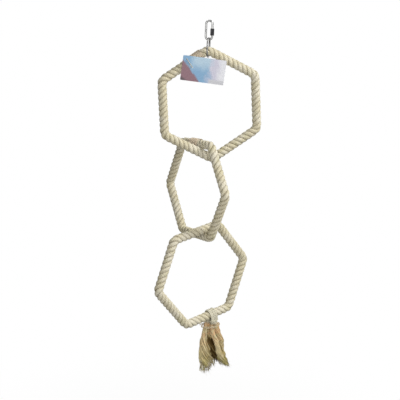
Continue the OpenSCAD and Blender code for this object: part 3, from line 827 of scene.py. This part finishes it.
def makeSteelLook(name, metal):
    look, tree = newLook(name)
    place = objectPlace(tree)
    drawn = addNode(tree, "ShaderNodeMapping", {"vector_type": "TEXTURE"},
                    {"Vector": place, "Scale": steelSet["drawn"]})
    scratches = noise(tree, drawn, metal["scratchScale"], detail=4.0)
    cloud = noise(tree, place, steelSet["cloudScale"], detail=3.0)
    dull = tuple(part * steelSet["dull"] for part in metal["colour"])
    colour = mixColour(tree, cloud.above(*steelSet["dullPatches"]), metal["colour"], dull)
    roughness = metal["roughness"] + scratches * steelSet["scratchRoughness"]
    finishLook(tree, colour, roughness, scratches, steelSet["bump"], {"Metallic": 1.0})
    return look


for name, metal in metalSet.items():
    look = makeSteelLook(name, metal)
    for node in metal["nodes"]:
        dress(node, look)

# Card with a plain print of its own
# edges are shares of its width from the left, or of its height from the foot
printSet = {
    "sky": (0.17, 0.31, 0.46), "paleSky": (0.36, 0.48, 0.57), "mauve": (0.19, 0.10, 0.12),
    "dark": (0.05, 0.035, 0.04), "lavender": (0.48, 0.47, 0.55), "white": (0.62, 0.62, 0.65),
    "grey": (0.47, 0.47, 0.49), "board": (0.56, 0.54, 0.50), "driftScale": 55.0, "drift": 0.4,
    "paleEdge": (0.35, 0.85), "lavenderEdge": (0.58, 0.74), "whiteEdge": (0.78, 0.92), "whiteDrift": 0.5,
    "cornerUntil": (0.12, 0.32), "cornerFrom": (0.55, 0.7), "hillEdge": (0.76, 0.9), "hillSlope": 1.9,
    "hillDrift": 0.5, "darkEdge": (0.08, 0.22), "footUntil": (0.12, 0.2), "footFrom": (0.62, 0.7),
    "footDrift": 0.2, "inkFrom": (0.7, 0.9), "grainScale": 1500.0, "roughness": 0.55, "bump": 0.006 * mm}


def makeTagLook(name):
    look, tree = newLook(name)
    lean = Matrix.Rotation(math.radians(tagSet["tilt"] - ringPlace["top"]["corner"]), 4, "Y")
    card = tagTieMatrix @ lean
    corner = card @ Vector((-tagSet["fromLeft"], 0, tagSet["fromTop"] - tagSet["height"]))
    rightward = (card.to_3x3() @ Vector((1, 0, 0))).normalized()
    upward = (card.to_3x3() @ Vector((0, 0, 1))).normalized()
    place = vectorCalc(tree, "SUBTRACT", objectPlace(tree), tuple(corner))
    across = vectorCalc(tree, "DOT_PRODUCT", place, tuple(rightward / tagSet["width"]), "Value")
    up = vectorCalc(tree, "DOT_PRODUCT", place, tuple(upward / tagSet["height"]), "Value")
    forward = vectorCalc(tree, "DOT_PRODUCT", place, (0, -1, 0), "Value")
    inked = forward.above(*(tagSet["standOff"] + part * tagSet["thickness"] for part in printSet["inkFrom"]))
    drift = (noise(tree, objectPlace(tree), printSet["driftScale"]) - 0.5) * printSet["drift"]
    paint = mixColour(tree, (up + drift).above(*printSet["paleEdge"]), printSet["sky"], printSet["paleSky"])
    paint = mixColour(tree, (across + drift).above(*printSet["lavenderEdge"]), paint, printSet["lavender"])
    cloud = across + drift * printSet["whiteDrift"]
    paint = mixColour(tree, cloud.above(*printSet["whiteEdge"]), paint, printSet["white"])
    topLeft = (1 - across.above(*printSet["cornerUntil"])) * up.above(*printSet["cornerFrom"])
    paint = mixColour(tree, topLeft, paint, printSet["sky"])
    hill = up + across * printSet["hillSlope"] + drift * printSet["hillDrift"]
    paint = mixColour(tree, 1 - hill.above(*printSet["hillEdge"]), paint, printSet["mauve"])
    paint = mixColour(tree, 1 - (up + across).above(*printSet["darkEdge"]), paint, printSet["dark"])
    belowFoot = 1 - (up + drift * printSet["footDrift"]).above(*printSet["footUntil"])
    paint = mixColour(tree, belowFoot * across.above(*printSet["footFrom"]), paint, printSet["grey"])
    paint = mixColour(tree, inked, printSet["board"], paint)
    grain = noise(tree, objectPlace(tree), printSet["grainScale"])
    finishLook(tree, paint, printSet["roughness"], grain, printSet["bump"], {})
    return look


dress("hang_tag", makeTagLook("tagCardLook"))
print("card and metals dressed")

# Plain studio: pale floor, white to the camera, main light from the upper right
stageSet = {
    "far": 6.0, "height": -1.15, "pale": (0.38, 0.38, 0.38), "nearWhite": 0.95, "whiteFrom": (0.15, 0.9)}
worldStrength = 0.17
lampSet = {
    "keyLamp": {"place": (2.0, -0.9, 1.9), "aim": (0, 0, -0.45), "size": 1.0, "power": 87},
    "frontLamp": {"place": (-0.2, -1.7, 0.1), "aim": (0, 0, -0.4), "size": 1.2, "power": 20},
    "backLamp": {"place": (0.3, 1.8, 0.3), "aim": (0, 0, -0.45), "size": 1.2, "power": 26}}


def directView(tree):  # 1 for rays that show the background as it is
    rays = addNode(tree, "ShaderNodeLightPath")
    seen = rays.out("Is Camera Ray").calc("MAXIMUM", rays.out("Is Glossy Ray"))
    return seen.calc("MAXIMUM", rays.out("Is Transmission Ray"))


def addStage():
    far, height = stageSet["far"], stageSet["height"]
    corners = [(-far, -far, height), (far, -far, height), (far, far, height), (-far, far, height)]
    mesh = bpy.data.meshes.new("studioFloor")
    mesh.from_pydata(corners, [], [(0, 1, 2, 3)])
    floor = bpy.data.objects.new("studioFloor", mesh)
    scene.collection.objects.link(floor)
    look, tree = newLook("studioFloorLook")
    pale = addNode(tree, "ShaderNodeBsdfDiffuse", None, {"Color": stageSet["pale"]})
    white = addNode(tree, "ShaderNodeEmission", None, {"Color": (1, 1, 1), "Strength": 1.0})
    ground = vectorCalc(tree, "MULTIPLY", objectPlace(tree), (1, 1, 0))
    away = addNode(tree, "ShaderNodeVectorMath", {"operation": "LENGTH"}, {0: ground}, "Value")
    plain = stageSet["nearWhite"] + away.above(*stageSet["whiteFrom"]) * (1 - stageSet["nearWhite"])
    mixed = addNode(tree, "ShaderNodeMixShader", None, {0: directView(tree) * plain, 1: pale, 2: white})
    tree.links.new(mixed.socket, tree.nodes["Material Output"].inputs["Surface"])
    mesh.materials.append(look)


def addWorld(strength):
    world = bpy.data.worlds.new("studioWorld")
    world.use_nodes = True
    scene.world = world
    tree = world.node_tree
    level = strength + directView(tree) * (1 - strength)
    shown = addNode(tree, "ShaderNodeBackground", None, {"Color": (1, 1, 1), "Strength": level})
    tree.links.new(shown.socket, tree.nodes["World Output"].inputs["Surface"])


def addLamp(name, values):
    lamp = bpy.data.lights.new(name, "AREA")
    lamp.shape = "DISK"
    lamp.size = values["size"]
    lamp.energy = values["power"]
    holder = bpy.data.objects.new(name, lamp)
    holder.location = values["place"]
    holder.rotation_mode = "QUATERNION"
    holder.rotation_quaternion = (Vector(values["aim"]) - Vector(values["place"])).to_track_quat("-Z", "Y")
    scene.collection.objects.link(holder)


addStage()
addWorld(worldStrength)
for name, values in lampSet.items():
    addLamp(name, values)
print("studio with", len(lampSet), "lamps")
scene.view_settings.view_transform = "Standard"
